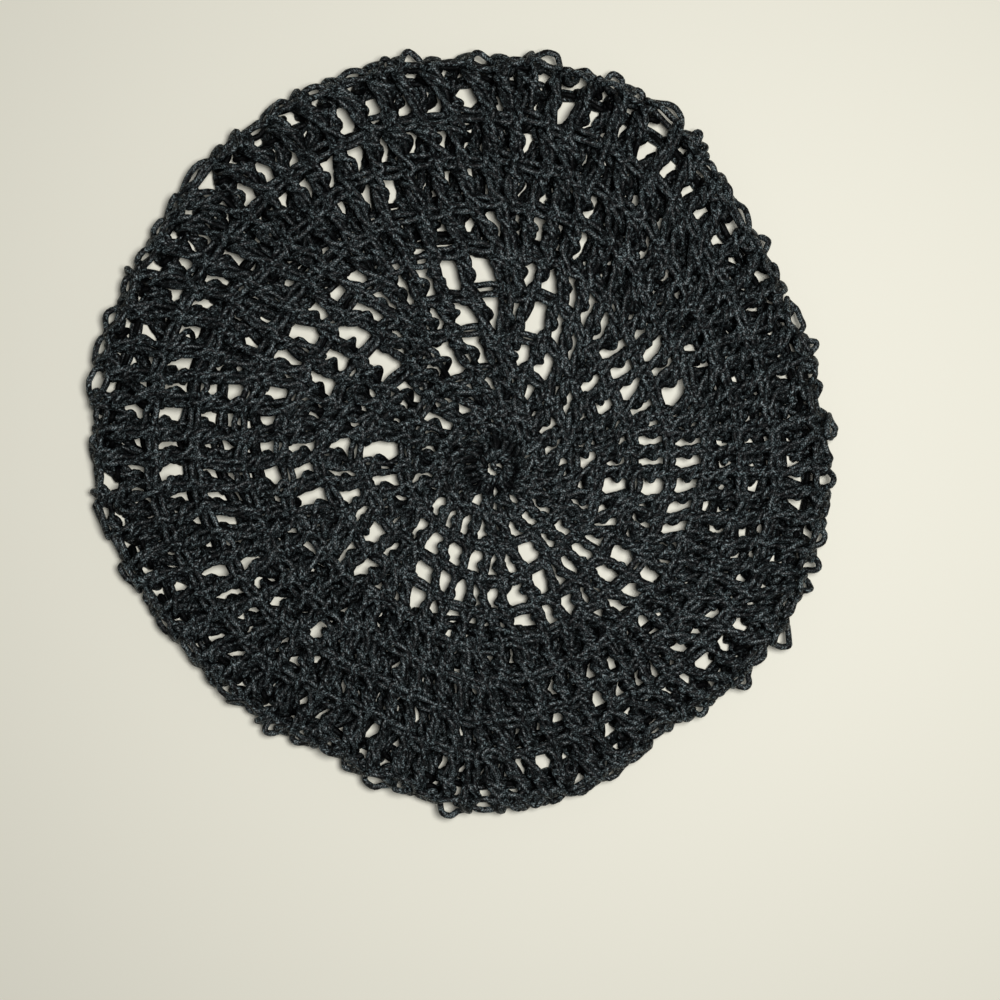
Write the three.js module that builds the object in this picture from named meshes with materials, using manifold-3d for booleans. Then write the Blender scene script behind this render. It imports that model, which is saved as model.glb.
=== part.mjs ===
// A crochet beret lying flat, as it rests by itself: an openwork crown over a turned-under
// return that leaves a hollow between them and an open head hole underneath.
// It is worked in the round from a centre ring, so every round of stitches is a ring of its own.
// Millimetres, +Z up, origin on the table under the middle of the beret's outline.
import * as THREE from 'three';
import { mergeVertices } from 'three/addons/utils/BufferGeometryUtils.js';
import Module from 'manifold-3d';

const wasm = await Module();
wasm.setup();

const { lerp, smoothstep, seededRandom } = THREE.MathUtils;

// Cord and fabric
const CORD = 2.3;
const FABRIC = 2 * CORD;
const RIDGE = 0.7;
const RIDGE_AT = 0.82;

// The plan, measured from the centre ring outwards
const CROWN_CENTRE = new THREE.Vector3(13.1, -12.9, 0);
const RING_REACH = 6.9;
const OUTLINE_MEAN = 135.2;
const OPENING_MEAN = 78;

// How the outline and the head opening stray from circles about the centre ring
const OUTLINE_WAVES = [
  { waves: 1, cos: -11.4, sin: 14.2 },
  { waves: 2, cos: -1.7, sin: -3.3 },
  { waves: 3, cos: -1.0, sin: -1.0 },
  { waves: 4, cos: 2.3, sin: -0.9 },
  { waves: 5, cos: 0.2, sin: -1.3 },
  { waves: 7, cos: -0.3, sin: 1.2 },
];
const OPENING_WAVES = [
  { waves: 1, cos: -3.0, sin: 11.1 },
  { waves: 2, cos: 6.5, sin: -4.7 },
];

// The side view: heights of the fabric's middle above the table. The crown starts to rise and
// reaches its crest at shares of the head opening's reach.
const CENTRE_HEIGHT = 8.5;
const CREST_HEIGHT = 15.0;
const SWELL_STARTS = 0.55;
const SWELL_ENDS = 1.4;
const SHOULDER_ROUNDS = 2.2;
const FOLD_DEPTH = 4.0;
const FOLD_RISE = 5.0;

// Rounds are counted from the centre ring, and grow a little taller outwards. The tenth bends
// over the edge. A seam is the share of a round left free at each side, about 0.15 mm.
const SEAM = 0.012;
const ROUND_GROWTH = 0.08;
const GROUPS = 10;
const CROWN_ROUNDS = 9;
const RIM_ROUND = CROWN_ROUNDS + 1;
const UNDER_ROUNDS = 3;
const BAND_ROUND = RIM_ROUND + UNDER_ROUNDS + 1;

// The gaps between the posts of the open rounds
const FIRST_OPEN_ROUND = 2;
const LAST_OPEN_ROUND = 6;
const GAP_FROM = 0.14;
const GAP_TO = 0.76;
const GAP_WIDTH = 3.1;
const GAP_VARIES = 0.35;
const FIRST_GROUP_TURN = THREE.MathUtils.degToRad(-11.5);

// The knobs that the posts of the rim make where they bend over the edge
const KNOBS = 70;
const KNOB_HEIGHT = 2.6;

// How finely the solids are faceted. Plain rounds share one count, so their seams stay even.
const PLAIN_FACETS = 50;
const GAP_SIDES = 5;
const CUTTER_LIFT = 2 * FABRIC;
const EYE_SIDES = 7;
const EYE_FACETS = 14;
const MERGE_DISTANCE = 1e-3;

const cordBlack = () =>
  new THREE.MeshStandardMaterial({ color: 0x16181c, roughness: 0.85, metalness: 0 });

// Reach of a wavy circle in one direction
function wavyReach(mean, waves, turn) {
  return waves.reduce(
    (reach, row) => reach + row.cos * Math.cos(row.waves * turn) + row.sin * Math.sin(row.waves * turn),
    mean,
  );
}

const outlineReach = (turn) => wavyReach(OUTLINE_MEAN, OUTLINE_WAVES, turn);
const openingReach = (turn) => wavyReach(OPENING_MEAN, OPENING_WAVES, turn);
const foldReach = (turn) => outlineReach(turn) - FABRIC / 2 - FOLD_DEPTH;

function topReach(round, turn) {
  const share = round / CROWN_ROUNDS;
  return lerp(RING_REACH, foldReach(turn), share * (1 - ROUND_GROWTH + ROUND_GROWTH * share));
}

// The crown sags over the head opening, swells over the return and comes down to the fold.
function topHeight(round, turn) {
  const over = topReach(round, turn) / openingReach(turn);
  const swell = lerp(CENTRE_HEIGHT, CREST_HEIGHT, smoothstep(over, SWELL_STARTS, SWELL_ENDS));
  const foldTop = FABRIC / 2 + 2 * FOLD_RISE;
  return lerp(swell, foldTop, smoothstep(round, CROWN_ROUNDS - SHOULDER_ROUNDS, CROWN_ROUNDS));
}

// A point of the fabric: the round it lies in, its direction from the centre ring,
// and its lift from the fabric's middle towards the face that shows.
function fabricPoint(round, turn, lift) {
  const outward = new THREE.Vector3(Math.cos(turn), Math.sin(turn), 0);
  const at = (reach, height) => outward.clone().multiplyScalar(reach).add(CROWN_CENTRE).setZ(height);
  if (round <= CROWN_ROUNDS) {
    return at(topReach(round, turn), topHeight(round, turn) + lift);
  }
  if (round < RIM_ROUND) {
    const tilt = Math.PI * (0.5 - (round - CROWN_ROUNDS));
    const reach = foldReach(turn) + (FOLD_DEPTH + lift) * Math.cos(tilt);
    return at(reach, FABRIC / 2 + FOLD_RISE + (FOLD_RISE + lift) * Math.sin(tilt));
  }
  const inward = (round - RIM_ROUND) / (BAND_ROUND - RIM_ROUND);
  return at(lerp(foldReach(turn), openingReach(turn), inward), FABRIC / 2 - lift);
}

// Moves each vertex of a geometry to the place that a function gives it.
function reshaped(geometry, place) {
  const position = geometry.getAttribute('position');
  for (let i = 0; i < position.count; i += 1) {
    position.setXYZ(i, ...place(position.getX(i), position.getY(i), position.getZ(i)).toArray());
  }
  return geometry;
}

function solid(geometry) {
  geometry.deleteAttribute('normal');
  geometry.deleteAttribute('uv');
  const merged = mergeVertices(geometry, MERGE_DISTANCE);
  return new wasm.Manifold(
    new wasm.Mesh({
      numProp: 3,
      vertProperties: merged.getAttribute('position').array,
      triVerts: new Uint32Array(merged.getIndex().array),
    }),
  );
}

function meshOf(body, name) {
  const { vertProperties, triVerts } = body.getMesh();
  const geometry = new THREE.BufferGeometry();
  geometry.setAttribute('position', new THREE.BufferAttribute(vertProperties, 3));
  geometry.setIndex(new THREE.BufferAttribute(triVerts, 1));
  geometry.computeVertexNormals();
  const mesh = new THREE.Mesh(geometry, cordBlack());
  mesh.name = name;
  return mesh;
}

// A ring of fabric. It is turned on a lathe whose radius is 1 + the round and whose height is
// the lift, and then laid along the fabric. Its section is a list of { round, lift }.
function ring(section, facets, knobAt = () => 0) {
  const outline = section.map(({ round, lift }) => new THREE.Vector2(1 + round, lift));
  const firstEdge = FIRST_GROUP_TURN + Math.PI / facets;
  const turned = new THREE.LatheGeometry([...outline, outline[0]], facets, firstEdge);
  return solid(
    reshaped(turned, (x, y, z) => {
      const turn = Math.atan2(x, z);
      const round = Math.hypot(x, z) - 1;
      return fabricPoint(round, turn, y + knobAt(round, turn, y));
    }),
  );
}

// The section of one round, from its inner face outwards and back over its outer face. Both
// faces are given at shares of the round's width, and a ridge may stand up at one of them.
function roundSection(round, innerShares, outerShares, ridgeAt) {
  const at = (share) => lerp(round - 1 + SEAM, round - SEAM, share);
  const raised = (share) => (share === ridgeAt ? RIDGE : 0);
  const inner = innerShares.map((share) => ({ round: at(share), lift: -FABRIC / 2 }));
  const outer = outerShares.map((share) => ({ round: at(share), lift: FABRIC / 2 + raised(share) }));
  return [...inner, ...outer.reverse()];
}

// A gap between two posts, from the round below to this one's heads, leaning as the posts lean
function gapCutter(round, turnBelow, turnAbove, width) {
  const middle = round - 1 + (GAP_FROM + GAP_TO) / 2;
  const halfLength = (GAP_TO - GAP_FROM) / 2;
  const block = new THREE.CylinderGeometry(1, 1, CUTTER_LIFT, GAP_SIDES);
  return solid(
    reshaped(block, (x, y, z) => {
      const at = middle + z * halfLength;
      const lean = lerp(turnBelow, turnAbove, at - (round - 1));
      return fabricPoint(at, lean + (x * width) / 2 / topReach(at, lean), y);
    }),
  );
}

// Each group adds one stitch a round, by working two into its first, so a round has a gap
// after every stitch but that first one. The last open round is cut only over the head opening.
function gapsOf(round) {
  const share = (2 * Math.PI) / GROUPS;
  const gaps = [];
  if (round > LAST_OPEN_ROUND) {
    return gaps;
  }
  for (let group = 0; group < GROUPS; group += 1) {
    for (let post = 1; post < round; post += 1) {
      const start = FIRST_GROUP_TURN + group * share;
      const turnBelow = start + (share * post) / (round - 1);
      const turnAbove = start + (share * (post + 1)) / round;
      const chance = seededRandom((round * GROUPS + group) * GROUPS + post);
      const width = GAP_WIDTH * (1 + GAP_VARIES * (2 * chance - 1));
      const overOpening = topReach(round - 0.5, turnAbove) < openingReach(turnAbove);
      if (round < LAST_OPEN_ROUND || overOpening) {
        gaps.push(gapCutter(round, turnBelow, turnAbove, width));
      }
    }
  }
  return gaps;
}

function centreRing() {
  const thick = FABRIC / 2;
  const seam = SEAM * (topReach(1, 0) - RING_REACH);
  const eye = new THREE.TorusGeometry(RING_REACH - thick - seam, thick, EYE_SIDES, EYE_FACETS);
  eye.translate(CROWN_CENTRE.x, CROWN_CENTRE.y, CENTRE_HEIGHT);
  return meshOf(solid(eye), 'centre_ring');
}

// In the open rounds a facet spans one stitch, and nearer the centre half of one.
function crownFacets(round) {
  if (round > LAST_OPEN_ROUND) {
    return PLAIN_FACETS;
  }
  return GROUPS * round * (round > FIRST_OPEN_ROUND ? 1 : 2);
}

function crownRound(round) {
  const body = ring(roundSection(round, [0, 1], [0, RIDGE_AT, 1], RIDGE_AT), crownFacets(round));
  const open = gapsOf(round).reduce((left, gap) => left.subtract(gap), body);
  return meshOf(open, `crown_round_${round}`);
}

// The rim bends over the edge, and its outer face stands up in a knob at every other facet.
function rimRound() {
  const section = roundSection(RIM_ROUND, [0, 0.5, 1], [0, 0.25, 0.5, 0.75, 1]);
  const knobAt = (round, turn, lift) => {
    const along = (round - CROWN_ROUNDS - SEAM) / (1 - 2 * SEAM);
    const swell = (1 + Math.sin(KNOBS * (turn - FIRST_GROUP_TURN))) / 2;
    return lift > 0 ? KNOB_HEIGHT * Math.sin(Math.PI * along) ** 2 * swell : 0;
  };
  return meshOf(ring(section, 2 * KNOBS, knobAt), 'rim_round');
}

// The rounds turned under lie flat on the table.
function underRound(round, name) {
  return meshOf(ring(roundSection(round, [0, 1], [0, 1]), PLAIN_FACETS), name);
}

const beret = new THREE.Group();
beret.add(centreRing());
for (let round = 1; round <= CROWN_ROUNDS; round += 1) {
  beret.add(crownRound(round));
}
beret.add(rimRound());
for (let under = 1; under <= UNDER_ROUNDS; under += 1) {
  beret.add(underRound(RIM_ROUND + under, `under_round_${under}`));
}
beret.add(underRound(BAND_ROUND, 'band_round'));

export default beret;
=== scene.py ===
# %% [markdown]
# # A crochet beret in braided cord
#
# The real beret is one black braided cord, worked round and round with a hook. It starts at a
# small ring in the middle of the crown, grows for nine rounds, bends over the edge in a tenth
# and comes back underneath in four more, which leave the head hole open.
#
# A shell with a bump map could stand for such cloth, but light falls through the gaps and each
# loop shows at the edge. So every stitch is real here: one closed curve for each round, which
# runs through every loop of every stitch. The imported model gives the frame. Its rings have the
# size, the place and the name of each round, and the sizes of the cloth below repeat the ones
# that those rings were made from.

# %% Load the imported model
import math
import random

import bmesh
import bpy
import numpy as np
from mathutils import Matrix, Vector, noise


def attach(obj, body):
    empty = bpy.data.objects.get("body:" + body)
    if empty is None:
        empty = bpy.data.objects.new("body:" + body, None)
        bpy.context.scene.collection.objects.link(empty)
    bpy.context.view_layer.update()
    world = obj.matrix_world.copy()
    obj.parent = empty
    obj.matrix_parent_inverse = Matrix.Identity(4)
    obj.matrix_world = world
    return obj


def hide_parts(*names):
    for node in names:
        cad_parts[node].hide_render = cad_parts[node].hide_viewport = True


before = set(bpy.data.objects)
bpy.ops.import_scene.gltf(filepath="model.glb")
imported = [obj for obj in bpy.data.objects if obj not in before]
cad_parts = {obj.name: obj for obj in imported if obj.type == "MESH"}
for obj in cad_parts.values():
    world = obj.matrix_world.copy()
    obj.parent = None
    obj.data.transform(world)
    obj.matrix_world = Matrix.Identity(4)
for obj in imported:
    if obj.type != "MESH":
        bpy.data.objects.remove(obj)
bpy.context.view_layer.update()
print("rounds in the frame:", len(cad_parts))

# %% [markdown]
# ## Camera
#
# The beret is seen from straight above, as on a copy stand. The picture is a square, so one
# number settles its scale: the width of the plane through the edge of the beret that the lens
# takes in. From its height the camera sees the rim about ten degrees from upright.

# %% Camera
PICTURE_WIDTH = 0.370
PICTURE_CENTRE = (0.01495, -0.0251)
CAMERA_HEIGHT = 0.75
EDGE_HEIGHT = 0.0075
SENSOR = 36.0

camera_data = bpy.data.cameras.new("copy_stand_camera")
camera_data.sensor_width = SENSOR
camera_data.lens = SENSOR * (CAMERA_HEIGHT - EDGE_HEIGHT) / PICTURE_WIDTH
camera = bpy.data.objects.new("copy_stand_camera", camera_data)
camera.location = (*PICTURE_CENTRE, CAMERA_HEIGHT)
bpy.context.scene.collection.objects.link(camera)
bpy.context.scene.camera = camera
print("lens, mm:", round(camera_data.lens, 1))

# %% [markdown]
# ## Reach of the cloth
#
# Before any stitch can be placed, the cloth needs a form to lie on. A point of the cloth has
# three numbers: its round, its turn about the centre ring, and its lift from the middle of the
# cloth towards the face that shows. This cell gives the reach, which is how far from the centre
# ring a round lies. The outline and the head hole are circles with a few waves added, because
# cloth never lies perfectly round. The waves of the outline were worked out from the outline in
# the photograph. The head hole can't be seen, and its waves are an estimate.
#
# Lengths are in millimetres here, and become metres when a cord is made.

# %% Reach of the cloth
MM = 0.001
CORD = 2.3
CLOTH = 2 * CORD
CROWN_CENTRE = (13.1, -12.9)
RING_REACH = 6.9
CROWN_ROUNDS = 9
RIM_ROUND = 10
BAND_ROUND = 14
ROUND_GROWTH = 0.08
FOLD_DEPTH = 4.0

OUTLINE_MEAN = 135.2
OUTLINE_WAVES = (
    # waves in a full turn, cosine part, sine part
    (1, -11.4, 14.2),
    (2, -1.7, -3.3),
    (3, -1.0, -1.0),
    (4, 2.3, -0.9),
    (5, 0.2, -1.3),
    (7, -0.3, 1.2),
)
OPENING_MEAN = 78.0
OPENING_WAVES = ((1, -3.0, 11.1), (2, 6.5, -4.7))


def lerp(a, b, share):
    return a + (b - a) * share


def wavy_reach(mean, waves, turn):
    """Reach of a wavy circle about the centre ring, in one direction."""
    return mean + sum(c * np.cos(n * turn) + s * np.sin(n * turn) for n, c, s in waves)


def fold_reach(turn):
    return wavy_reach(OUTLINE_MEAN, OUTLINE_WAVES, turn) - CLOTH / 2 - FOLD_DEPTH


def opening_reach(turn):
    return wavy_reach(OPENING_MEAN, OPENING_WAVES, turn)


def reach_of(rounds, turn):
    """Reach of the middle of the cloth: out over the crown, then back in underneath."""
    share = rounds / CROWN_ROUNDS
    over = lerp(RING_REACH, fold_reach(turn), share * (1 - ROUND_GROWTH + ROUND_GROWTH * share))
    inward = (rounds - RIM_ROUND) / (BAND_ROUND - RIM_ROUND)
    under = lerp(fold_reach(turn), opening_reach(turn), inward)
    reach = np.where(rounds < CROWN_ROUNDS + 0.5, over, under)
    return np.minimum(reach, fold_reach(turn))


full_turn = np.linspace(0, 2 * math.pi, 361)
print("least and greatest reach of the outline, mm:",
      np.round(np.percentile(wavy_reach(OUTLINE_MEAN, OUTLINE_WAVES, full_turn), (0, 100)), 1))

# %% [markdown]
# ## Height of the cloth
#
# The crown sags towards the table over the head hole, swells where the part turned underneath
# holds it up, and comes down again to the fold. In the fold the cloth goes half a turn round a
# low arch. Below it lies flat, at the height of half its own thickness.

# %% Height of the cloth
CENTRE_HEIGHT = 8.5
CREST_HEIGHT = 15.0
SWELL_STARTS = 0.55
SWELL_ENDS = 1.4
SHOULDER_ROUNDS = 2.2
FOLD_RISE = 5.0


def smooth_step(value, low, high):
    share = np.clip((value - low) / (high - low), 0, 1)
    return share * share * (3 - 2 * share)


def crown_height(rounds, turn):
    """Height of the crown: sag, swell and shoulder."""
    over = reach_of(rounds, turn) / opening_reach(turn)
    swell = lerp(CENTRE_HEIGHT, CREST_HEIGHT, smooth_step(over, SWELL_STARTS, SWELL_ENDS))
    fold_top = CLOTH / 2 + 2 * FOLD_RISE
    shoulder = smooth_step(rounds, CROWN_ROUNDS - SHOULDER_ROUNDS, CROWN_ROUNDS)
    return lerp(swell, fold_top, shoulder)


def cloth_points(rounds, turn, lift):
    """Places of points of the cloth, as rows of x, y and z."""
    in_fold = np.clip(rounds - CROWN_ROUNDS, 0, 1)
    tilt = math.pi * (0.5 - in_fold)
    folding = (rounds > CROWN_ROUNDS) & (rounds < RIM_ROUND)
    reach = reach_of(rounds, turn) + np.where(folding, (FOLD_DEPTH + lift) * np.cos(tilt), 0)
    above = crown_height(rounds, turn) + lift
    below = CLOTH / 2 - lift
    folded = CLOTH / 2 + FOLD_RISE + (FOLD_RISE + lift) * np.sin(tilt)
    height = np.where(rounds <= CROWN_ROUNDS, above, below)
    height = np.where(folding, folded, height)
    x = CROWN_CENTRE[0] + reach * np.cos(turn)
    y = CROWN_CENTRE[1] + reach * np.sin(turn)
    return np.stack([x, y, height], axis=1)


crest = crown_height(np.full(full_turn.shape, CROWN_ROUNDS - SHOULDER_ROUNDS), full_turn)
print("height of the crest, mm:", round(float(crest.max()), 1))

# %% [markdown]
# ## Uneven hands
#
# Hand work is never even. A smooth noise shifts the cloth as a whole, at three sizes, so that
# neighbouring stitches move together. A seeded random generator then gives each stitch its own
# lean, height and slack.
#
# The gaps of the real beret are wide in some places and closed in others. A list of round
# patches says where. They were typed in after comparing region by region how much light
# comes through the cloth in the render and in the photograph.

# %% Uneven hands
CHANCE = random.Random(11)
DRIFTS = (
    # wavelength, sideways and up and down, in mm
    (42.0, 1.8, 0.9),
    (16.0, 1.4, 0.7),
    (7.0, 1.0, 0.5),
)
NOISE_PLACES = (Vector((0, 0, 0)), Vector((31, 17, 5)), Vector((7, 43, 23)))
PATCHES = (
    # degrees round the crown, reach in mm, size in mm, how much wider the gaps are
    (12, 28, 13, -2.4),
    (138, 28, 12, -4.0),
    (105, 42, 12, -1.6),
    (235, 28, 12, 1.0),
    (195, 36, 12, -2.4),
    (345, 38, 12, -0.8),
    (315, 46, 14, 1.3),
    (255, 50, 12, 2.3),
    (195, 52, 8, 2.6),
    (130, 52, 14, -2.2),
    (165, 65, 12, -2.4),
    (230, 66, 13, -0.9),
    (200, 71, 14, -2.6),
    (75, 75, 16, 0.2),
    (135, 85, 12, 0.4),
    (195, 92, 10, 1.0),
    (45, 95, 24, -0.8),
    (315, 98, 18, 1.2),
    (255, 95, 14, 0.9),
    (75, 108, 12, -1.4),
    (0, 108, 14, 1.0),
    (105, 126, 14, -1.4),
    (135, 128, 14, -1.4),
    (165, 126, 14, -1.4),
)


def drift(points):
    """Shifts points by smooth noise. Each direction reads its own part of the noise."""
    moved = points.copy()
    for wavelength, sideways, upward in DRIFTS:
        places = [Vector(point[:3]) / wavelength for point in points]
        for axis, size in enumerate((sideways, sideways, upward)):
            moved[:, axis] += [size * noise.noise(place + NOISE_PLACES[axis]) for place in places]
    return moved


def ease(turn, reach):
    """How much wider than usual the gaps are at each point."""
    total = 0.0
    for degrees, patch_reach, size, amount in PATCHES:
        cosine = np.cos(turn - math.radians(degrees))
        squared = reach ** 2 + patch_reach ** 2 - 2 * reach * patch_reach * cosine
        total = total + amount * np.exp(-squared / (2 * size ** 2))
    return total


test_points = cloth_points(np.full(full_turn.shape, 5.0), full_turn, 0.0)
test_shifts = np.linalg.norm(drift(test_points) - test_points, axis=1)
print("greatest shift in round 5, mm:", round(float(test_shifts.max()), 1))

# %% [markdown]
# ## Where the stitches stand
#
# A flat round of stitches must grow, or it turns into a cap. The number of stitches in each
# round therefore rises over the crown, stays level over the fold, and falls underneath, where
# the cloth draws in. Where a round has more stitches than the one below, some of them are twins:
# both are worked into the same stitch.
#
# Each stitch is a small record: the turn of its foot and of its head, how far each strays from
# its round, and how far the heads ahead and behind are.

# %% Where the stitches stand
COUNTS = (14, 24, 30, 40, 50, 60, 70, 74, 76, 76, 76, 72, 68, 64)
FIRST_TURN = math.radians(-11.5)
TWIN_SPREAD = 0.25
HEAD_STRAYS = 0.12
HEIGHT_STRAYS = 0.06
CROWN_LEAN = 0.14
OTHER_LEANS = {1: 0.0, 10: 0.25, 11: 0.35, 12: 0.0, 13: 0.0, 14: 0.0}


def feet_of(count, count_below):
    """For each stitch, the stitch below that holds it, and how far aside it stands there."""
    feet = [int((post + 0.5) * count_below / count) for post in range(count)]
    asides = []
    for post, foot in enumerate(feet):
        asides.append(TWIN_SPREAD * ((foot in feet[:post]) - (foot in feet[post + 1:])))
    return list(zip(feet, asides))


def round_heads(count, first_turn):
    """The heads of one round, and the way from each to its neighbours."""
    pitch = 2 * math.pi / count
    turns = [first_turn + (post + 0.5 + CHANCE.gauss(0, HEAD_STRAYS)) * pitch for post in range(count)]
    stitches = []
    for post, turn in enumerate(turns):
        ahead = (turns[(post + 1) % count] - turn) % (2 * math.pi)
        behind = (turn - turns[post - 1]) % (2 * math.pi)
        stray = CHANCE.gauss(0, HEIGHT_STRAYS)
        stitches.append(dict(head_turn=turn, head_stray=stray, ahead=ahead, behind=behind))
    return stitches


def plan_rounds():
    """Every stitch of every round, each round standing on the one below."""
    plan = {}
    below = []
    first_turn = FIRST_TURN
    for round_number, count in enumerate(COUNTS, start=1):
        first_turn += OTHER_LEANS.get(round_number, CROWN_LEAN) * 2 * math.pi / count
        stitches = round_heads(count, first_turn)
        feet = feet_of(count, len(below)) if below else [(None, 0.0)] * count
        for stitch, (foot, aside) in zip(stitches, feet):
            stitch["foot_turn"] = stitch["head_turn"]
            stitch["foot_stray"] = 0.0
            if below:
                foot_turn = below[foot]["head_turn"] + aside * 2 * math.pi / len(below)
                turned = (foot_turn - stitch["head_turn"] + math.pi) % (2 * math.pi) - math.pi
                stitch["foot_turn"] += turned
                stitch["foot_stray"] = below[foot]["head_stray"]
        plan[round_number] = stitches
        below = stitches
    return plan


plan = plan_rounds()
print("stitches in all:", sum(len(stitches) for stitches in plan.values()))

# %% [markdown]
# ## One stitch
#
# A treble stitch is one stretch of cord that never ends: it comes along the back of its own
# round's top, wraps once round the post, dips through the head of the stitch below, climbs back in
# two loops, one through the other, and lies down as a chain on the top of its own round.
#
# The stretch is a short list of points. Each has a place along the round, counted in steps to
# the next head and in cords, a height in shares of the round, and a lift in cords. A step that
# is negative reaches back to the head before.

# %% One stitch
TREBLE = (
    # steps, cords, height, lift
    (-0.85, 0.0, 0.97, -0.45),
    (-0.50, 0.0, 0.94, -0.65),
    (0.0, -0.40, 0.92, -1.00),
    (0.0, 0.85, 0.90, -0.60),
    (0.0, 1.12, 0.78, 0.40),
    (0.0, 0.10, 0.63, 1.30),
    (0.0, -0.90, 0.47, 1.05),
    (0.0, -1.10, 0.36, 0.0),
    (0.0, -0.60, 0.10, -0.70),
    (0.0, -0.70, -0.20, -0.45),
    (0.0, -0.74, -0.18, 0.45),
    (0.0, -0.72, -0.03, 1.00),
    (0.0, -0.66, 0.19, 0.20),
    (0.0, -0.52, 0.46, 0.30),
    (0.0, 0.10, 0.58, 0.20),
    (0.0, 0.62, 0.46, 0.30),
    (0.0, 0.68, 0.19, 0.20),
    (0.0, 0.70, -0.03, 1.00),
    (0.0, 0.68, -0.18, 0.45),
    (0.0, 0.55, -0.20, -0.45),
    (0.0, 0.25, 0.05, -0.60),
    (0.0, 0.05, 0.30, -0.10),
    (0.0, 0.45, 0.46, 0.15),
    (0.0, 0.72, 0.64, 0.50),
    (0.0, 0.62, 0.86, 0.55),
    (0.0, 0.0, 1.02, 0.35),
    (0.0, -0.62, 0.86, 0.50),
    (0.0, -0.74, 0.64, 0.50),
    (0.0, -0.42, 0.46, 0.10),
    (0.0, -0.10, 0.48, -0.50),
    (0.0, 0.05, 0.72, -0.40),
    (0.0, 0.0, 0.88, -0.05),
    (0.12, 0.15, 0.87, 0.50),
    (0.28, 0.0, 0.83, 0.62),
    (0.50, 0.0, 0.82, 0.70),
    (0.72, 0.0, 0.84, 0.62),
    (0.88, 0.0, 0.88, 0.50),
    (1.00, 0.25, 0.94, 0.20),
    (1.00, 0.45, 1.02, -0.10),
    (1.00, 0.0, 1.05, -0.10),
    (0.78, 0.0, 1.04, 0.0),
    (0.66, 0.0, 1.03, 0.05),
    (0.50, 0.0, 1.02, 0.10),
    (0.34, 0.0, 1.01, 0.05),
    (0.22, 0.0, 1.00, -0.10),
)
STEPS, CORDS, HEIGHT, LIFT = range(4)
print("points in one stitch:", len(TREBLE))

# %% [markdown]
# ## Loose points and knobs
#
# No two stitches are alike, so each gets its own copy of the list with small random changes.
# The two strands of the chain then rise between the heads in an arch. On the crown it is low.
# The heads of the ninth round lie along the edge, where lift points outwards, and make it
# knobbly: the head bulges and the chain rises higher. Now and then the chain is a loose loop
# instead, which shows the table through it. The feet of the tenth round stand out as well, and
# fill the knobs from behind.

# %% Loose points and knobs
JITTER = {CORDS: 0.07, HEIGHT: 0.010, LIFT: 0.06}
ARCH_HALF = 0.31
BACK_STRAND_FROM = 0.95
FRONT_STRAND_SHARE = 0.5
CHAIN_LIFT = 0.4
KNOB_LIFT = (0.1, 1.6)
HEAD_LIFT = (-0.2, 1.7)
HEAD_STARTS = (0.4, 0.9)
LOOSE_KNOB_LIFT = 2.1
LOOSE_SHARE = 0.10
RIM_FOOT_LIFT = 0.8
RIM_FOOT_ENDS = (0.0, 0.5)


def stitch_rows(round_number):
    """One stitch's own copy of the list of points."""
    rows = np.array(TREBLE)
    for column, amount in JITTER.items():
        rows[:, column] += [CHANCE.gauss(0, amount) for _ in rows]
    rise = CHAIN_LIFT
    if round_number == CROWN_ROUNDS:
        rise = lerp(*KNOB_LIFT, CHANCE.random())
        bulge = lerp(*HEAD_LIFT, CHANCE.random())
        if CHANCE.random() < LOOSE_SHARE:
            rise = LOOSE_KNOB_LIFT
            bulge = 0
        rows[:, LIFT] += bulge * smooth_step(rows[:, HEIGHT], *HEAD_STARTS)
    if round_number == RIM_ROUND:
        rows[:, LIFT] += RIM_FOOT_LIFT * (1 - smooth_step(rows[:, HEIGHT], *RIM_FOOT_ENDS))
    arch = np.sqrt(np.clip(1 - ((rows[:, STEPS] - 0.5) / ARCH_HALF) ** 2, 0, 1))
    rows[:, LIFT] += rise * arch * np.where(rows[:, HEIGHT] > BACK_STRAND_FROM, 1.0, FRONT_STRAND_SHARE)
    return rows


print("lift of a plain and of a rim stitch, in cords:",
      [round(float(stitch_rows(number)[:, LIFT].max()), 1) for number in (4, CROWN_ROUNDS)])

# %% [markdown]
# ## Width of a post
#
# The cord is soft, so a post spreads where it has room and is squeezed where it has none. Its
# width follows the room between its neighbours, between two limits, and the patches make it
# narrower where the gaps are wide. The first round fans out from the small ring, so it has
# limits of its own. Underneath the posts only need to close the cloth.

# %% Width of a post
EASY_PITCH = 3.8 * CORD
FILL = 0.85
LEAST_SPREAD = 0.60
MOST_SPREAD = 1.45
FIRST_EASY_PITCH = 2.6 * CORD
FIRST_MOST_SPREAD = 1.6
UNDER_SPREAD = 1.20
EASE_EFFECT = 0.35


def post_spread(round_number, stitch, turn, reach):
    """How wide the post is at each of its points, as a share of its drawn width."""
    room = (stitch["ahead"] + stitch["behind"]) / 2 * reach
    if round_number == 1:
        spread = np.clip(room / FIRST_EASY_PITCH, LEAST_SPREAD, FIRST_MOST_SPREAD)
    elif round_number <= RIM_ROUND:
        spread = np.clip(lerp(1, room / EASY_PITCH, FILL), LEAST_SPREAD, MOST_SPREAD)
    else:
        spread = np.full(reach.shape, UNDER_SPREAD)
    return spread * (1 - EASE_EFFECT * ease(turn, reach))


middle_turns = np.array([stitch["head_turn"] for stitch in plan[4]])
middle_spread = post_spread(4, plan[4][0], middle_turns, reach_of(3.5, middle_turns))
print("narrowest and widest post of round 4:", np.round(np.percentile(middle_spread, (0, 100)), 2))

# %% [markdown]
# ## A stitch on the cloth
#
# Two things are left before the points can be laid on the cloth. The strands of a post twist
# round each other on the way up, which gives the diagonal look of crochet. And the seams between
# the last rounds are moved a little, so that the chain of the ninth lies along the outline.
#
# Round the centre ring the feet of the first round are pressed down, so that the ring stands
# clear of them, with a groove behind it.

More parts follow.
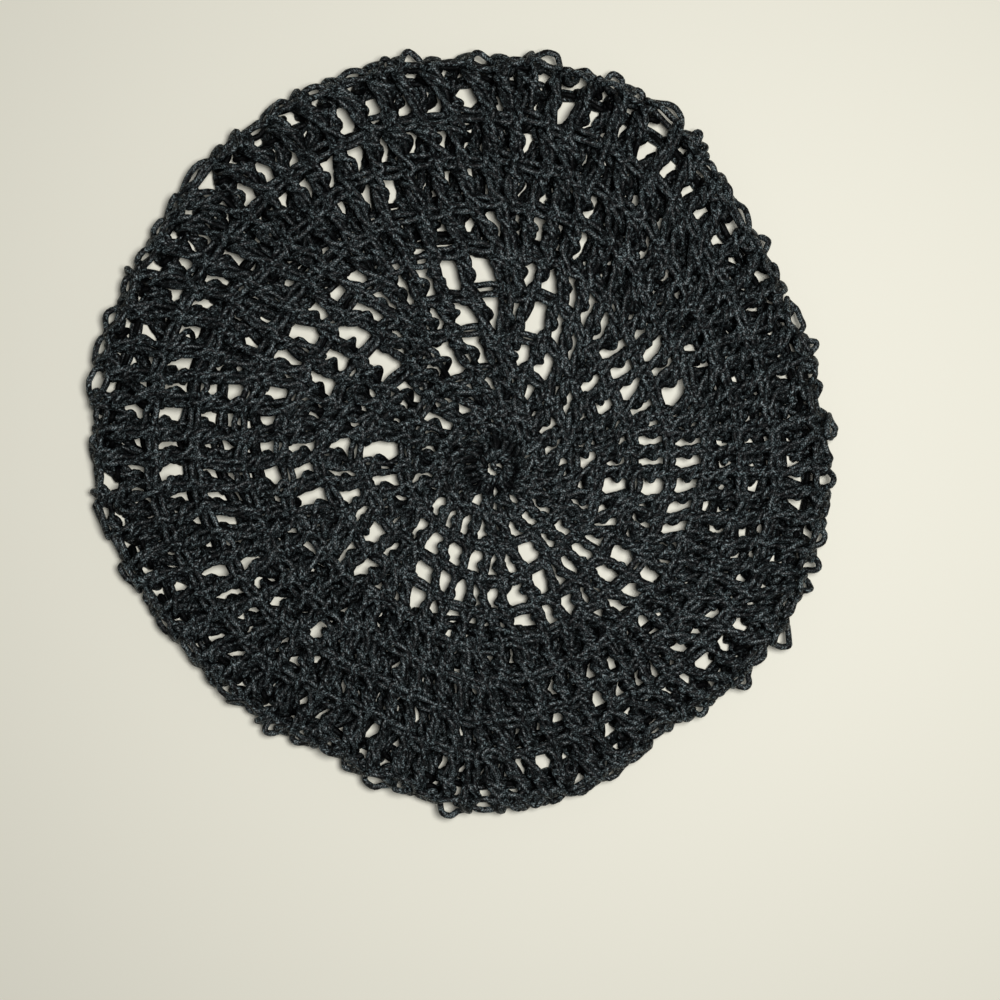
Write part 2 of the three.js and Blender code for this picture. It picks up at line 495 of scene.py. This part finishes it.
# %% A stitch on the cloth
TWIST = math.radians(-165)
TWIST_STRAYS = math.radians(30)
SLACK_STRAYS = 0.16
ON_THE_POST = 0.05
SEAMS = ((-1, 8, 9, 10, 14, 15), (-1.05, 8, 9.32, 10.25, 14, 15))
RING_SEAT = (5.1, 2.0, -1.4)
RING_GROOVE = (8.3, 1.2, -0.95)


def soft_dip(reach, middle, width, lift):
    """A dip, for a negative lift, that is deepest at one reach and fades on both sides."""
    return lift * np.exp(-((reach - middle) / width) ** 2)


def twisted(rows, round_number):
    """The points of a post turned round its own middle line, more and more on the way up."""
    share = np.clip(rows[:, HEIGHT], 0, 1)
    foot_stray = CHANCE.gauss(0, TWIST_STRAYS)
    head_stray = CHANCE.gauss(0, TWIST_STRAYS)
    angle = (TWIST if round_number > 1 else 0) * (share - 0.5) + lerp(foot_stray, head_stray, share)
    angle = np.where(np.abs(rows[:, STEPS]) < ON_THE_POST, angle, 0)
    aside = rows[:, CORDS] * np.cos(angle) - rows[:, LIFT] * np.sin(angle)
    lift = rows[:, CORDS] * np.sin(angle) + rows[:, LIFT] * np.cos(angle)
    return aside, lift


def stitch_points(round_number, stitch):
    """Rows of x, y, z and lift of the cord's points through one stitch."""
    rows = stitch_rows(round_number)
    steps = rows[:, STEPS]
    height = rows[:, HEIGHT]
    rounds = round_number - 1 + lerp(stitch["foot_stray"], 1 + stitch["head_stray"], height)
    rounds = np.interp(rounds, *SEAMS)
    turn = lerp(stitch["foot_turn"], stitch["head_turn"], np.clip(height, 0, 1))
    turn = turn + np.where(steps < 0, steps * stitch["behind"], steps * stitch["ahead"])
    reach = reach_of(rounds, turn)
    slack = 1 + CHANCE.gauss(0, SLACK_STRAYS)
    rows[:, CORDS] *= slack * post_spread(round_number, stitch, turn, reach)
    if round_number == 1:
        # The dips lower the cord, and through the noted nearness they also paint it darker: painted
        # shade in the groove behind the ring.
        rows[:, LIFT] += soft_dip(reach, *RING_SEAT) + soft_dip(reach, *RING_GROOVE)
    aside, lift = twisted(rows, round_number)
    turn = turn + aside * CORD / np.maximum(reach, CORD)
    return np.column_stack([cloth_points(rounds, turn, lift * CORD), lift])


sample = stitch_points(4, plan[4][0])
sample_length = np.linalg.norm(np.diff(sample[:, :3], axis=0), axis=1).sum()
print("cord in one stitch, mm:", round(float(sample_length), 1))

# %% [markdown]
# ## A smooth line through the points
#
# Straight lines between the points would show as corners. A four-point rule adds a point between
# each pair: nine sixteenths of each near neighbour less one sixteenth of each far one, which lies
# on a smooth curve through them all.
#
# A cord needs few points where it runs straight and many where it bends. So the line is walked
# once more at a cost, for its length and for its bends, and a point is set each time the cost
# has grown by one. The line printed below says how many points that saves.

# %% A smooth line through the points
STRAIGHT_STEP = 4.0


def between(points):
    """A closed line of points with a new point on the curve between each pair."""
    after = np.roll(points, -1, axis=0)
    far_after = np.roll(points, -2, axis=0)
    before = np.roll(points, 1, axis=0)
    middle = (9 * (points + after) - (before + far_after)) / 16
    return np.stack([points, middle], axis=1).reshape(-1, points.shape[1])


def spread_out(points, bend_step):
    """Points along the same closed line, close together in its bends and far apart elsewhere."""
    steps = (np.roll(points, -1, axis=0) - points)[:, :3]
    lengths = np.linalg.norm(steps, axis=1)
    headings = steps / lengths[:, None]
    bends = np.arccos(np.clip((headings * np.roll(headings, 1, axis=0)).sum(axis=1), -1, 1))
    cost = lengths / STRAIGHT_STEP + (bends + np.roll(bends, -1)) / 2 / bend_step
    passed = np.concatenate([[0], np.cumsum(cost)])
    count = round(passed[-1])
    wanted = np.arange(count) * passed[-1] / count
    closed = np.vstack([points, points[:1]])
    return np.stack([np.interp(wanted, passed, column) for column in closed.T], axis=1)


smooth_sample = between(between(sample))
print("points of the sample, smooth and thinned:",
      len(smooth_sample), len(spread_out(smooth_sample, math.radians(45))))

# %% [markdown]
# ## Making a cord
#
# The points of a round become a closed curve with a round bevel, which is the usual way to make
# rope. The curve is then made a mesh. Its own map runs along the cord and around it, and is
# stretched here to true millimetres along, so that the braid has one scale on every piece.
#
# Each vertex also notes how near it lies to the face of the cloth that it looks to: the upper
# one or the lower one. At the rim the cloth stands on edge, and the lift of the cord says it.
# The material paints shade with this note: the deeper a strand lies in the cloth, the darker it
# is painted.

# %% Making a cord
UPWARD, OUTWARD, DOWNWARD = 1, 0, -1
TURN_OVER = 4.0


def curve_of(name, points, bevel_resolution):
    """A closed curve with a round bevel, along points in millimetres."""
    curve = bpy.data.curves.new(name, "CURVE")
    curve.dimensions = "3D"
    curve.bevel_depth = CORD / 2 * MM
    curve.bevel_resolution = bevel_resolution
    spline = curve.splines.new("POLY")
    spline.points.add(len(points) - 1)
    spline.points.foreach_set("co", np.hstack([points[:, :3] * MM, np.ones((len(points), 1))]).ravel())
    spline.use_cyclic_u = True
    return curve


def map_in_millimetres(mesh, points):
    """Stretches the map along the cord to millimetres, and returns the length of the cord."""
    steps = (np.roll(points, -1, axis=0) - points)[:, :3]
    along = np.concatenate([[0], np.cumsum(np.linalg.norm(steps, axis=1))])
    corners = mesh.uv_layers[0].uv
    flat = np.empty(2 * len(corners))
    corners.foreach_get("vector", flat)
    flat[0::2] = np.interp(flat[0::2] * len(points), np.arange(len(points) + 1), along)
    corners.foreach_set("vector", flat)
    return along[-1]


def note_nearness(mesh, points, face):
    """Notes at each vertex how near it is to the face of the cloth it looks to, in cords."""
    places = np.empty(3 * len(mesh.vertices))
    mesh.vertices.foreach_get("co", places)
    sides = len(mesh.vertices) // len(points)
    rise = (places[2::3] / MM - np.repeat(points[:, 2], sides)) / CORD
    lift = np.repeat(points[:, 3], sides)
    nearness = lift + rise
    if face != OUTWARD:
        nearness = face * lift * np.clip(TURN_OVER * rise, -1, 1) + np.abs(rise)
    # Painted shade: the cord's material paints a vertex darker the lower this value is.
    mesh.attributes.new("nearness", "FLOAT", "POINT").data.foreach_set("value", nearness)


def make_cord(name, points, bevel_resolution, face):
    """A closed cord as a mesh object in metres, and its length in millimetres."""
    shaper = bpy.data.objects.new(name + "_shaper", curve_of(name, points, bevel_resolution))
    bpy.context.scene.collection.objects.link(shaper)
    bpy.context.view_layer.update()
    depsgraph = bpy.context.evaluated_depsgraph_get()
    mesh = bpy.data.meshes.new_from_object(shaper.evaluated_get(depsgraph), depsgraph=depsgraph)
    bpy.data.objects.remove(shaper)
    mesh.name = name
    length = map_in_millimetres(mesh, points)
    note_nearness(mesh, points, face)
    mesh.polygons.foreach_set("use_smooth", np.ones(len(mesh.polygons), dtype=bool))
    piece = bpy.data.objects.new(name, mesh)
    bpy.context.scene.collection.objects.link(piece)
    return piece, length


sample_curve = curve_of("sample", smooth_sample, 2)
print("points on the sample's curve:", len(sample_curve.splines[0].points))
bpy.data.curves.remove(sample_curve)

# %% [markdown]
# ## Working the rounds
#
# Each round is worked stitch by stitch, and the last stitch joins the first. The two rounds at
# the rim are seen against the table, so they get the finest bends. Those underneath show only
# through the gaps, and get a cord with fewer sides.

# %% Working the rounds
CROWN_DETAIL = (math.radians(50), 2, UPWARD)
RIM_DETAIL = (math.radians(38), 2, OUTWARD)
UNDER_DETAIL = (math.radians(60), 1, DOWNWARD)

pieces = {}
cord_lengths = {}


def resting(points):
    """Keeps the middle of the cord at least half a cord above the table."""
    points[:, 2] = np.maximum(points[:, 2], CORD / 2)
    return points


def work_round(name, round_number, detail):
    bend_step, bevel_resolution, face = detail
    stitches = [stitch_points(round_number, stitch) for stitch in plan[round_number]]
    line = between(between(drift(np.concatenate(stitches))))
    points = resting(spread_out(line, bend_step))
    pieces[name], cord_lengths[name] = make_cord(name + "_cord", points, bevel_resolution, face)


for number in range(1, CROWN_ROUNDS):
    work_round(f"crown_round_{number}", number, CROWN_DETAIL)
work_round(f"crown_round_{CROWN_ROUNDS}", CROWN_ROUNDS, RIM_DETAIL)
work_round("rim_round", RIM_ROUND, RIM_DETAIL)
for under in range(1, BAND_ROUND - RIM_ROUND):
    work_round(f"under_round_{under}", RIM_ROUND + under, UNDER_DETAIL)
work_round("band_round", BAND_ROUND, UNDER_DETAIL)
print("rounds worked:", len(pieces))

# %% [markdown]
# ## The centre ring
#
# The beret starts at a small ring. Its cord goes round twice. The first turn is wound as a
# coil, which shows as a little ribbed ring. The second is plain and runs lower down, a little to
# one side, so that it can be seen through the hole.

# %% The centre ring
RING_POINTS = 320
RING_TURNS = 2
RING_WRAPS = 15
RING_WRAP_RADIUS = 1.0
RING_RADII = (5.1, 1.5)
RING_HEIGHTS = (10.8, 7.0)
RING_SHIFT = (0.9, 0.8)
RING_LOW_MIDDLE = 0.75
RING_LOW_PART = (0.12, 0.24)
# Painted shade: the ring's lifts are not places. Through the noted nearness they only set how light the
# ring is painted, with the top of each wrap of the coil lighter and its underside darker.
RING_SHADE_LIFTS = (0.7, 0.4)
RING_BEVEL = 2

share = np.arange(RING_POINTS) / RING_POINTS
angle = 2 * math.pi * RING_TURNS * share
lower = 1 - smooth_step(np.abs(share - RING_LOW_MIDDLE), *RING_LOW_PART)
wrap = (1 - lower) * RING_WRAP_RADIUS
radius = lerp(*RING_RADII, lower) + wrap * np.cos(RING_WRAPS * angle)
ring_points = np.stack([
    CROWN_CENTRE[0] + RING_SHIFT[0] * lower + radius * np.cos(angle),
    CROWN_CENTRE[1] + RING_SHIFT[1] * lower + radius * np.sin(angle),
    lerp(*RING_HEIGHTS, lower) + wrap * np.sin(RING_WRAPS * angle),
    RING_SHADE_LIFTS[0] + RING_SHADE_LIFTS[1] * (1 - lower) * np.sin(RING_WRAPS * angle),
], axis=1)
ring, ring_length = make_cord("centre_ring_cord", ring_points, RING_BEVEL, OUTWARD)
pieces["centre_ring"] = ring
cord_lengths["centre_ring"] = ring_length

triangles = [2 * len(piece.data.polygons) for piece in pieces.values()]
print("cord in all, m:", round(sum(cord_lengths.values()) * MM, 1))
print("triangles in all and in the largest piece:", sum(triangles), max(triangles))

# %% [markdown]
# ## Sums with shader sockets
#
# A braid is easier to read as a formula than as a net of nodes. A `Socket` stands for one output
# of a node and takes part in sums: `a * 2 + b` adds the Math nodes and links them. A `Finish` is
# a material with one method that adds any other node: its kind, its settings, and a value or a
# socket for each of its inputs.

# %% Sums with shader sockets
class Finish:
    """A material, its shader, and one way to add any other node."""

    def __init__(self, name):
        self.material = bpy.data.materials.new(name)
        self.material.use_nodes = True
        self.shader = self.material.node_tree.nodes["Principled BSDF"]

    def fill(self, node, values):
        """Sets or links the inputs of a node, each by its name or its number."""
        for key, value in values.items():
            if isinstance(value, Socket):
                self.material.node_tree.links.new(value.output, node.inputs[key])
            else:
                node.inputs[key].default_value = value

    def node(self, kind, settings, values, output=0):
        node = self.material.node_tree.nodes.new(kind)
        for key, value in settings.items():
            setattr(node, key, value)
        self.fill(node, values)
        return Socket(self, node.outputs[output])

    def math(self, operation, *values):
        """One Math node, which takes the values in their order."""
        return self.node("ShaderNodeMath", {"operation": operation}, dict(enumerate(values)))


class Socket:
    """One output of a node, ready for sums."""

    def __init__(self, finish, output):
        self.finish = finish
        self.output = output

    def part(self, axis):
        """One number out of a vector."""
        return self.finish.node("ShaderNodeSeparateXYZ", {}, {0: self}, axis)

    def __add__(self, other):
        return self.finish.math("ADD", self, other)

    def __radd__(self, other):
        return self.finish.math("ADD", other, self)

    def __sub__(self, other):
        return self.finish.math("SUBTRACT", self, other)

    def __rsub__(self, other):
        return self.finish.math("SUBTRACT", other, self)

    def __mul__(self, other):
        return self.finish.math("MULTIPLY", self, other)

    def __rmul__(self, other):
        return self.finish.math("MULTIPLY", other, self)

    def __truediv__(self, other):
        return self.finish.math("DIVIDE", self, other)

    def __rtruediv__(self, other):
        return self.finish.math("DIVIDE", other, self)


trial = Finish("trial")
trial_sum = 1.0 + trial.math("SINE", 0.5) * 2.0
print("node at the end of a sum:", trial_sum.output.node.operation)
bpy.data.materials.remove(trial.material)

# %% [markdown]
# ## The braid
#
# The cord is a tube braided from thin shiny threads. Its surface is a row of small ribs, and
# side by side the ribs slant opposite ways, as in a shoelace. The map of the cord gives the
# place along it in millimetres and the share of the way around it, so a few sums make the ribs.
# Each rib gets its own random brightness, and a fine noise breaks it up into flecks: these are
# painted glints in the base colour, for threads that catch the light one by one, and they also
# strengthen the coat. The same height paints shade into the grooves and bends the light. Strands
# that lie deep in the cloth get painted shade from the noted nearness: their base colour goes to
# black and their coat fades.

# %% The braid
RIB_LENGTH = 0.95
RIB_SLANT = 1.6
RIB_COLUMNS = 8
RIB_FLATNESS = 0.25
RIB_DEPTH = 0.00012
FLECK_SCALE = 1100.0
FLECK_DETAIL = 1.0
FLECK_CONTRAST = 4.0
FLECK_FLOOR = 0.9
# Painted shade: below the first nearness a strand is painted fully dark, above the second fully lit.
FULL_SHADE_BELOW = -0.25
LIT_ABOVE = 1.05
# Painted shade and painted glints: the base colour runs from the groove colour, painted near black as
# shade, to the thread colour, painted light as glints, which also carries the cord's own dark teal
# tint.
SHADED_GROOVE_COLOUR = (0.0008, 0.0010, 0.0012, 1.0)
LIT_THREAD_COLOUR = (0.15, 0.197, 0.207, 1.0)
GROOVE_ROUGHNESS = 0.65
THREAD_POLISH = 0.2
EVEN_SHEEN = 0.08
THREAD_SHEEN = 2.2
SHEEN_ROUGHNESS = 0.5
DULLNESS = 0.06


def braided_cord():
    finish = Finish("braided_cord")
    cord_map = finish.node("ShaderNodeUVMap", {"uv_map": "UVMap"}, {})
    along = cord_map.part("X")
    around = cord_map.part("Y")
    columns = around * RIB_COLUMNS
    zigzag = finish.math("PINGPONG", columns / 2, 0.5)
    ribs_passed = along / RIB_LENGTH + zigzag * RIB_SLANT
    rib = finish.math("SINE", ribs_passed * (2 * math.pi)) * 0.5 + 0.5
    plait = finish.math("SINE", zigzag * (2 * math.pi))
    height = rib * (RIB_FLATNESS + (1 - RIB_FLATNESS) * plait)
    rib_number = finish.math("FLOOR", ribs_passed + 0.25)
    column_number = finish.math("FLOOR", columns)
    cell = finish.node("ShaderNodeCombineXYZ", {}, {"X": rib_number, "Y": column_number})
    chance = finish.node("ShaderNodeTexWhiteNoise", {"noise_dimensions": "2D"}, {"Vector": cell})
    place = finish.node("ShaderNodeTexCoord", {}, {}, "Object")
    noise_values = {"Vector": place, "Scale": FLECK_SCALE, "Detail": FLECK_DETAIL}
    fleck = finish.node("ShaderNodeTexNoise", {"noise_dimensions": "3D"}, noise_values)
    fleck = finish.math("MAXIMUM", fleck * FLECK_CONTRAST - FLECK_FLOOR, 0.0)
    nearness = finish.node("ShaderNodeAttribute", {"attribute_name": "nearness"}, {}, "Fac")
    # Painted shade: strands deep in the cloth get a dark base colour and a weak coat.
    lit = (nearness - FULL_SHADE_BELOW) / (LIT_ABOVE - FULL_SHADE_BELOW)
    lit = finish.math("MINIMUM", finish.math("MAXIMUM", lit, 0.0), 1.0)
    # Painted glints and painted shade: rib height, a random brightness per rib and fine flecks lighten
    # the thread, while grooves and deep strands are painted dark.
    shine = height * chance * fleck * lit
    mix_values = {0: shine * chance, 6: SHADED_GROOVE_COLOUR, 7: LIT_THREAD_COLOUR}
    colour = finish.node("ShaderNodeMix", {"data_type": "RGBA"}, mix_values, output=2)
    bump_values = {"Distance": RIB_DEPTH, "Height": height}
    finish.fill(finish.shader, {
        "Base Color": colour,
        "Roughness": GROOVE_ROUGHNESS - height * THREAD_POLISH,
        "Specular IOR Level": DULLNESS,
        # The coat is weakened by the painted shade and strengthened where the painted glints are.
        "Coat Weight": finish.math("MINIMUM", lit * EVEN_SHEEN + shine * THREAD_SHEEN, 1.0),
        "Coat Roughness": SHEEN_ROUGHNESS,
        "Normal": finish.node("ShaderNodeBump", {}, bump_values),
    })
    return finish.material


cord_finish = braided_cord()
for piece in pieces.values():
    piece.data.materials.clear()
    piece.data.materials.append(cord_finish)
print("nodes in the cord's material:", len(cord_finish.node_tree.nodes))

# %% [markdown]
# ## The table
#
# The beret lies on a smooth pale surface without any edge in the picture. The gaps in the crown
# show it, so it counts for half of the look of the lace.

# %% The table
TABLE_HALF = 3.0
TABLE_COLOUR = (0.80, 0.778, 0.665, 1.0)
TABLE_ROUGHNESS = 0.6

table_mesh = bpy.data.meshes.new("table_top")
shape = bmesh.new()
bmesh.ops.create_grid(shape, x_segments=1, y_segments=1, size=TABLE_HALF)
shape.to_mesh(table_mesh)
shape.free()
table_top = bpy.data.objects.new("table_top", table_mesh)
bpy.context.scene.collection.objects.link(table_top)
table_finish = Finish("pale_table")
table_finish.fill(table_finish.shader, {"Base Color": TABLE_COLOUR, "Roughness": TABLE_ROUGHNESS})
table_mesh.materials.append(table_finish.material)
print("table, m:", round(table_top.dimensions.x, 2))

# %% [markdown]
# ## Light
#
# The photograph has no hard shadow. One lamp, a disk 22 cm across, hangs a little above the camera
# and to the right, so that it lights the tops of the strands. An even pale world stands for the
# room, and fills in the rest.

# %% Light
ROOM_LIGHT = 0.10
LAMP_POWER = 6.75
LAMP_SIZE = 0.22
LAMP_PLACE = (0.12, 0.01, 0.84)

room = bpy.data.worlds.new("room")
room.use_nodes = True
room.node_tree.nodes["Background"].inputs["Color"].default_value = (1.0, 1.0, 1.0, 1.0)
room.node_tree.nodes["Background"].inputs["Strength"].default_value = ROOM_LIGHT
bpy.context.scene.world = room

lamp_data = bpy.data.lights.new("soft_lamp", "AREA")
lamp_data.shape = "DISK"
lamp_data.size = LAMP_SIZE
lamp_data.energy = LAMP_POWER
lamp = bpy.data.objects.new("soft_lamp", lamp_data)
lamp.location = LAMP_PLACE
bpy.context.scene.collection.objects.link(lamp)
bpy.context.scene.view_settings.view_transform = "Standard"
print("lamp above the table, m:", round(lamp.location.z, 2))

# %% [markdown]
# ## Parts and hidden rings
#
# Each cord is attached to the rigid part it moves with, and the ring of the imported model that it
# stands in for is hidden.

# %% Parts and hidden rings
for name, piece in pieces.items():
    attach(piece, "root")
    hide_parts(name)
